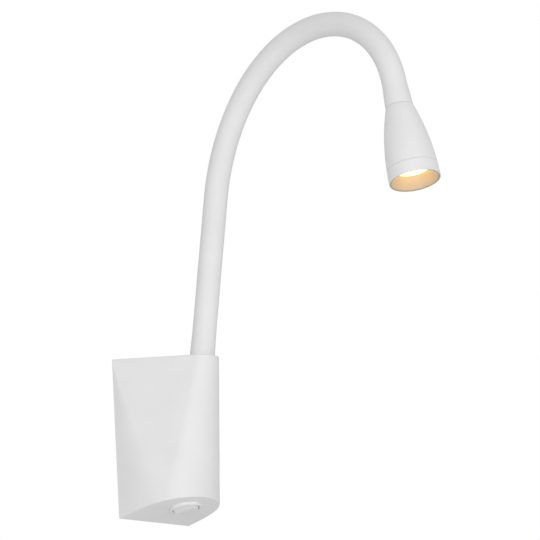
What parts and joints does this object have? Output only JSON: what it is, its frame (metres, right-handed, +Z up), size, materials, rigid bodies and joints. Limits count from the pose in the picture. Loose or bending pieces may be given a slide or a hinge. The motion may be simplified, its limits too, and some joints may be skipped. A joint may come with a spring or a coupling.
{
  "type": "flexible wall light",
  "caption": "White wall light with a wedge-shaped housing, a round rocker switch under it, a bendable sleeved arm and a small recessed spot head",
  "frame": {"origin": "middle of the housing's back, on the wall", "axes": "+Z up along the wall, +Y into the wall, the front looks along -Y"},
  "size_m": [0.072, 0.2491, 0.2996],
  "materials": {
    "housing_white": "satin moulded white",
    "head_white": "satin white paint on aluminium",
    "sleeve_white": "smooth matte white silicone",
    "steel": "zinc plated",
    "brass": "plain brass",
    "pale_plastic": "moulded",
    "dark_rubber": "matte",
    "aluminium": "turned",
    "board_white": "white solder mask",
    "emitter_yellow": "phosphor gel",
    "lens_warm": "frosted, lit warm white",
    "baffle_white": "moulded satin"
  },
  "bodies": {
    "housing": {"housing_shell": "housing_white", "wall_bracket": "steel", "cable_grommet": "dark_rubber", "cover_screws": "steel", "led_driver": "pale_plastic", "driver_screws": "steel", "terminal_block": "pale_plastic", "terminal_screws": "brass", "block_screws": "steel", "switch_body": "housing_white", "switch_terminals": "brass", "internal_leads": "dark_rubber", "base_nipple": "steel", "base_washer": "steel", "base_nut": "brass", "base_collar": "sleeve_white", "arm_cable": "dark_rubber", "arm_sleeve_1": "sleeve_white", "arm_core_1": "steel"},
    "rocker": {"switch_rocker": "housing_white", "switch_plunger": "brass", "switch_spring": "steel"},
    "contact": {"switch_contact": "brass"},
    "arm_1": {"arm_sleeve_2": "sleeve_white", "arm_core_2": "steel"},
    "arm_2": {"arm_sleeve_3": "sleeve_white", "arm_core_3": "steel"},
    "arm_3": {"arm_sleeve_4": "sleeve_white", "arm_core_4": "steel"},
    "arm_4": {"arm_sleeve_5": "sleeve_white", "arm_core_5": "steel"},
    "arm_5": {"arm_sleeve_6": "sleeve_white", "arm_core_6": "steel"},
    "arm_6": {"arm_sleeve_7": "sleeve_white", "arm_core_7": "steel"},
    "arm_7": {"arm_sleeve_8": "sleeve_white", "arm_core_8": "steel"},
    "arm_8": {"arm_sleeve_9": "sleeve_white", "arm_core_9": "steel"},
    "arm_9": {"arm_sleeve_10": "sleeve_white", "arm_core_10": "steel"},
    "head": {"arm_core_11": "steel", "head_collar": "sleeve_white", "head_nipple": "steel", "head_nut": "brass", "head_shell": "head_white", "heat_sink": "aluminium", "led_board": "board_white", "led_emitter": "emitter_yellow", "led_screws": "steel", "lens": "lens_warm", "baffle": "baffle_white", "bezel_ring": "head_white"}
  },
  "joints": [
    {"name": "arm_bend_1", "type": "hinge", "parent": "housing", "child": "arm_1", "pos_m": [0, -0.04914, 0.08375], "axis": [1, 0.0087, 0.0011], "range_deg": [-10, 20], "deforming": ["arm_cable"]},
    {"name": "arm_bend_2", "type": "hinge", "parent": "arm_1", "child": "arm_2", "pos_m": [0, -0.05318, 0.11661], "axis": [1, -0.0087, -0.0011], "range_deg": [-10, 20], "deforming": ["arm_cable"]},
    {"name": "arm_side_3", "type": "hinge", "parent": "arm_2", "child": "arm_3", "pos_m": [0, -0.05721, 0.14947], "axis": [0, 0.9925, 0.1219], "range_deg": [-30, 30], "deforming": ["arm_cable"]},
    {"name": "arm_bend_4", "type": "hinge", "parent": "arm_3", "child": "arm_4", "pos_m": [0, -0.06576, 0.18135], "axis": [1, -0.008, -0.0034], "range_deg": [-30, 12], "deforming": ["arm_cable"]},
    {"name": "arm_bend_5", "type": "hinge", "parent": "arm_4", "child": "arm_5", "pos_m": [0, -0.08299, 0.20948], "axis": [1, 0.0067, 0.0056], "range_deg": [-30, 12], "deforming": ["arm_cable"]},
    {"name": "arm_side_6", "type": "hinge", "parent": "arm_5", "child": "arm_6", "pos_m": [0, -0.10823, 0.23066], "axis": [0, 0.5, 0.866], "range_deg": [-30, 30], "deforming": ["arm_cable"]},
    {"name": "arm_bend_7", "type": "hinge", "parent": "arm_6", "child": "arm_7", "pos_m": [0, -0.13934, 0.24137], "axis": [1, 0.0012, 0.0086], "range_deg": [-35, 12], "deforming": ["arm_cable"]},
    {"name": "arm_bend_8", "type": "hinge", "parent": "arm_7", "child": "arm_8", "pos_m": [0, -0.17213, 0.23908], "axis": [1, 0.0024, -0.0084], "range_deg": [-35, 12], "deforming": ["arm_cable"]},
    {"name": "arm_side_9", "type": "hinge", "parent": "arm_8", "child": "arm_9", "pos_m": [0, -0.20052, 0.22269], "axis": [0, -0.6947, 0.7193], "range_deg": [-30, 30], "deforming": ["arm_cable"]},
    {"name": "arm_bend_10", "type": "hinge", "parent": "arm_9", "child": "head", "pos_m": [0, -0.21713, 0.19451], "axis": [1, 0.0084, -0.0023], "range_deg": [-35, 12], "deforming": ["arm_cable"]},
    {"name": "switch_rock", "type": "hinge", "parent": "housing", "child": "rocker", "pos_m": [0, -0.02948, -0.04083], "axis": [0.2419, -0.9454, 0.2183], "range_deg": [0, 20]},
    {"name": "contact_tilt", "type": "hinge", "parent": "housing", "child": "contact", "pos_m": [0, -0.0274, -0.03182], "axis": [0.2419, -0.9454, 0.2183], "range_deg": [-12, 0]}
  ],
  "couplings": [
    {"joint": "contact_tilt", "follows": "switch_rock", "ratio": -0.6}
  ]
}
